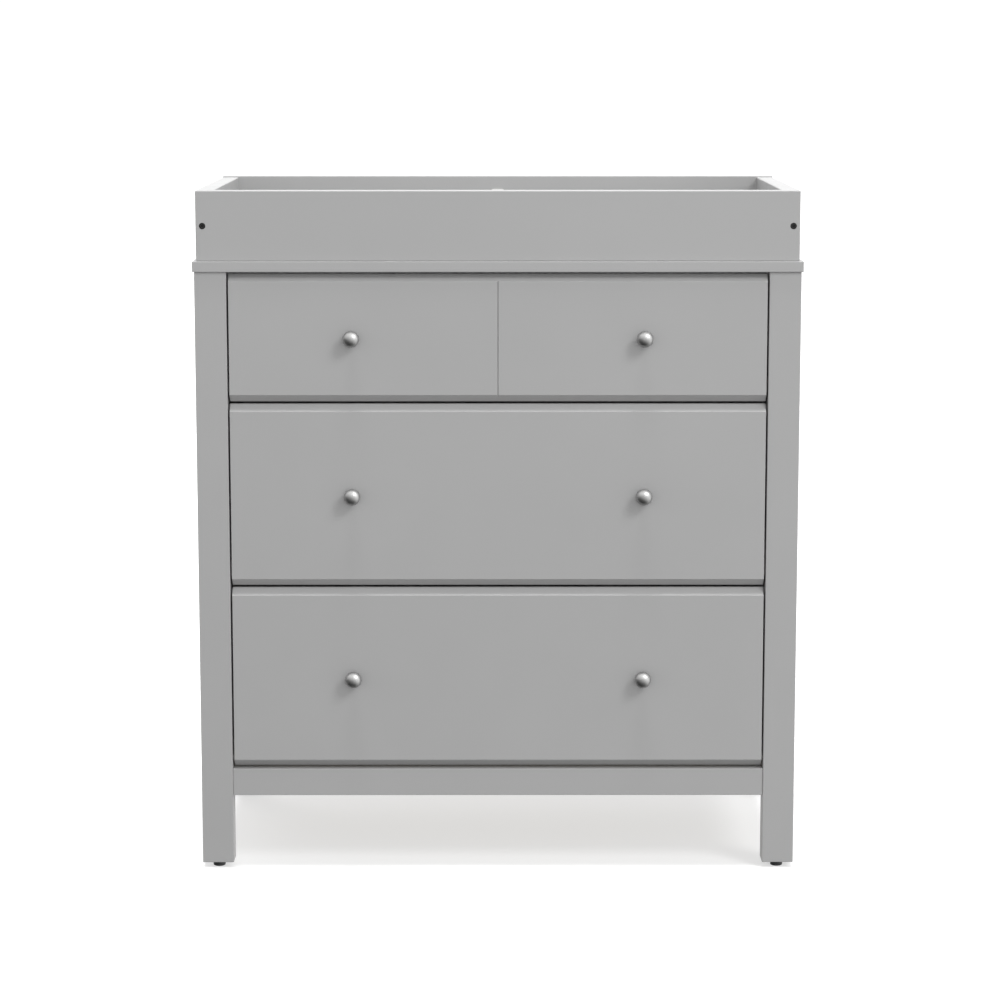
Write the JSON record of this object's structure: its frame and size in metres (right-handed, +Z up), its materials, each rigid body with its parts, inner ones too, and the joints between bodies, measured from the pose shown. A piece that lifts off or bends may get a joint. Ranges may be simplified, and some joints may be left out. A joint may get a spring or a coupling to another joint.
{
  "type": "changing table",
  "caption": "Dresser-style changing table: painted wooden cabinet with full-width sliding drawers on roller runners, round metal knobs and a raised open tray on top for a changing pad.",
  "frame": {"origin": "on the floor under the centre of the overall box", "axes": "+Z up, drawers open towards -Y, +X to the right seen from the front"},
  "size_m": [0.87, 0.49, 0.991],
  "materials": {
    "grey_paint": "satin light-grey paint on wood",
    "drawer_box": "clear-sealed pale plywood",
    "drawer_floor": "thin pale plywood",
    "hardboard": "brown hardboard",
    "bare_pine": "planed pine",
    "satin_nickel": "satin nickel",
    "zinc_hardware": "bright zinc plate",
    "black_bolts": "black oxide",
    "white_runners": "white epoxy coat",
    "nylon": "natural white nylon",
    "black_plastic": "black moulded plastic"
  },
  "bodies": {
    "cabinet": {"back_panel": "hardboard", "back_panel_nails": "zinc_hardware", "bottom_rail": "grey_paint", "cabinet_runners": "white_runners", "cabinet_screws": "zinc_hardware", "frame_cam_bolts": "zinc_hardware", "frame_cam_locks": "zinc_hardware", "front_apron": "grey_paint", "front_left_leg": "grey_paint", "front_right_leg": "grey_paint", "front_top_rail": "grey_paint", "left_side_panel": "grey_paint", "leg_glides": "black_plastic", "lower_divider_rail": "grey_paint", "rear_bottom_rail": "grey_paint", "rear_left_leg": "grey_paint", "rear_right_leg": "grey_paint", "rear_top_rail": "grey_paint", "right_side_panel": "grey_paint", "runner_cleats": "bare_pine", "top_board": "grey_paint", "tray_back_rail": "grey_paint", "tray_barrel_nuts": "zinc_hardware", "tray_bolts": "black_bolts", "tray_brace_screws": "zinc_hardware", "tray_corner_brace": "white_runners", "tray_front_rail": "grey_paint", "tray_left_rail": "grey_paint", "tray_right_rail": "grey_paint", "upper_divider_rail": "grey_paint"},
    "upper_drawer": {"upper_drawer_back": "drawer_box", "upper_drawer_bottom": "drawer_floor", "upper_drawer_front": "grey_paint", "upper_drawer_knob_screws": "zinc_hardware", "upper_drawer_knobs": "satin_nickel", "upper_drawer_left_side": "drawer_box", "upper_drawer_right_side": "drawer_box", "upper_drawer_runners": "white_runners"},
    "upper_cabinet_wheels": {"upper_cabinet_rollers": "nylon"},
    "upper_drawer_wheels": {"upper_drawer_rollers": "nylon"},
    "middle_drawer": {"middle_drawer_back": "drawer_box", "middle_drawer_bottom": "drawer_floor", "middle_drawer_front": "grey_paint", "middle_drawer_knob_screws": "zinc_hardware", "middle_drawer_knobs": "satin_nickel", "middle_drawer_left_side": "drawer_box", "middle_drawer_right_side": "drawer_box", "middle_drawer_runners": "white_runners"},
    "middle_cabinet_wheels": {"middle_cabinet_rollers": "nylon"},
    "middle_drawer_wheels": {"middle_drawer_rollers": "nylon"},
    "lower_drawer": {"lower_drawer_back": "drawer_box", "lower_drawer_bottom": "drawer_floor", "lower_drawer_front": "grey_paint", "lower_drawer_knob_screws": "zinc_hardware", "lower_drawer_knobs": "satin_nickel", "lower_drawer_left_side": "drawer_box", "lower_drawer_right_side": "drawer_box", "lower_drawer_runners": "white_runners"},
    "lower_cabinet_wheels": {"lower_cabinet_rollers": "nylon"},
    "lower_drawer_wheels": {"lower_drawer_rollers": "nylon"}
  },
  "joints": [
    {"name": "upper_drawer_slide", "type": "slide", "parent": "cabinet", "child": "upper_drawer", "axis": [0, -1, 0], "range_m": [0, 0.3]},
    {"name": "upper_cabinet_rollers_turn", "type": "hinge", "parent": "cabinet", "child": "upper_cabinet_wheels", "pos_m": [0, -0.187, 0.7103], "axis": [1, 0, 0], "range_deg": [-10, 1819]},
    {"name": "upper_drawer_rollers_turn", "type": "hinge", "parent": "upper_drawer", "child": "upper_drawer_wheels", "pos_m": [0, 0.177, 0.7097], "axis": [1, 0, 0], "range_deg": [-10, 1819]},
    {"name": "middle_drawer_slide", "type": "slide", "parent": "cabinet", "child": "middle_drawer", "axis": [0, -1, 0], "range_m": [0, 0.3]},
    {"name": "middle_cabinet_rollers_turn", "type": "hinge", "parent": "cabinet", "child": "middle_cabinet_wheels", "pos_m": [0, -0.187, 0.4426], "axis": [1, 0, 0], "range_deg": [-10, 1819]},
    {"name": "middle_drawer_rollers_turn", "type": "hinge", "parent": "middle_drawer", "child": "middle_drawer_wheels", "pos_m": [0, 0.177, 0.442], "axis": [1, 0, 0], "range_deg": [-10, 1819]},
    {"name": "lower_drawer_slide", "type": "slide", "parent": "cabinet", "child": "lower_drawer", "axis": [0, -1, 0], "range_m": [0, 0.3]},
    {"name": "lower_cabinet_rollers_turn", "type": "hinge", "parent": "cabinet", "child": "lower_cabinet_wheels", "pos_m": [0, -0.187, 0.1749], "axis": [1, 0, 0], "range_deg": [-10, 1819]},
    {"name": "lower_drawer_rollers_turn", "type": "hinge", "parent": "lower_drawer", "child": "lower_drawer_wheels", "pos_m": [0, 0.177, 0.1743], "axis": [1, 0, 0], "range_deg": [-10, 1819]}
  ],
  "couplings": [
    {"joint": "upper_cabinet_rollers_turn", "follows": "upper_drawer_slide", "rad_per_m": 105.26},
    {"joint": "upper_drawer_rollers_turn", "follows": "upper_drawer_slide", "rad_per_m": 105.26},
    {"joint": "middle_cabinet_rollers_turn", "follows": "middle_drawer_slide", "rad_per_m": 105.26},
    {"joint": "middle_drawer_rollers_turn", "follows": "middle_drawer_slide", "rad_per_m": 105.26},
    {"joint": "lower_cabinet_rollers_turn", "follows": "lower_drawer_slide", "rad_per_m": 105.26},
    {"joint": "lower_drawer_rollers_turn", "follows": "lower_drawer_slide", "rad_per_m": 105.26}
  ]
}
